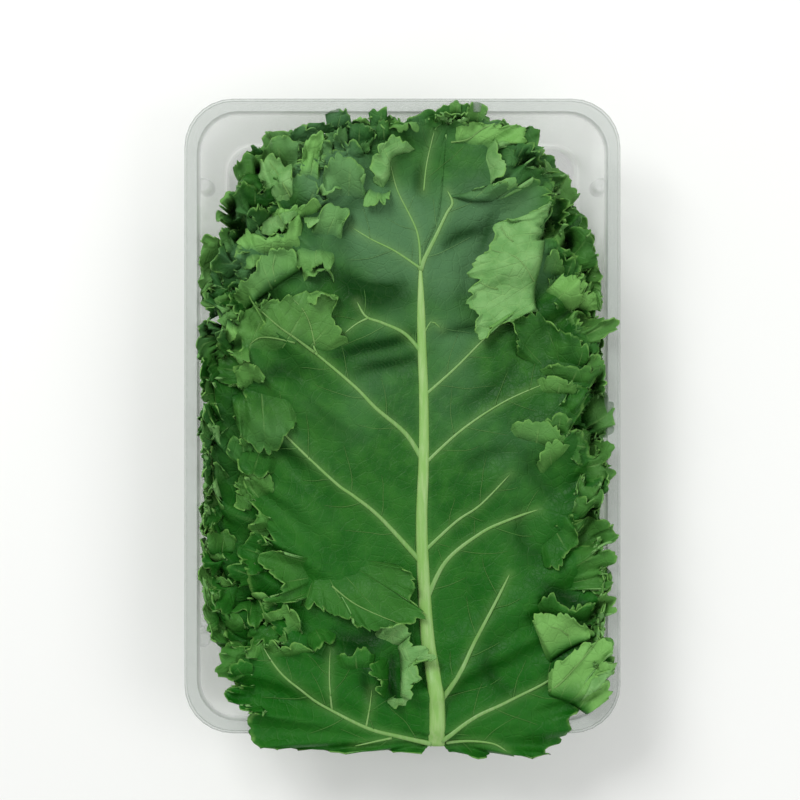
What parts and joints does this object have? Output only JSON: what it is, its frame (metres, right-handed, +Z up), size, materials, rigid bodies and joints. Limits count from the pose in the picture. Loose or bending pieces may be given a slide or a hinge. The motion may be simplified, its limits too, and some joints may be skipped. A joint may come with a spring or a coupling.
{
  "type": "kale bunch",
  "caption": "Curly kale leaves with frilled edges and pale raised ribs, laid one on another in a shallow clear tray.",
  "frame": {"origin": "middle of the tray's flat underside, on the surface it rests on", "axes": "+Z up, +Y along the leaves from the cut base of the top leaf to its tip, +X to the right seen from above"},
  "size_m": [0.18, 0.2713, 0.0577],
  "materials": {
    "kale_leaf": "waxy matt leaf, deep green with paler ribs and a lighter underside",
    "clear_tray": "clear, glossy formed sheet"
  },
  "bodies": {
    "root": {"tray": "clear_tray", "leaf_1": "kale_leaf", "leaf_2": "kale_leaf", "leaf_3": "kale_leaf", "leaf_4": "kale_leaf", "leaf_5": "kale_leaf", "leaf_6": "kale_leaf", "top_leaf": "kale_leaf"}
  },
  "joints": []
}
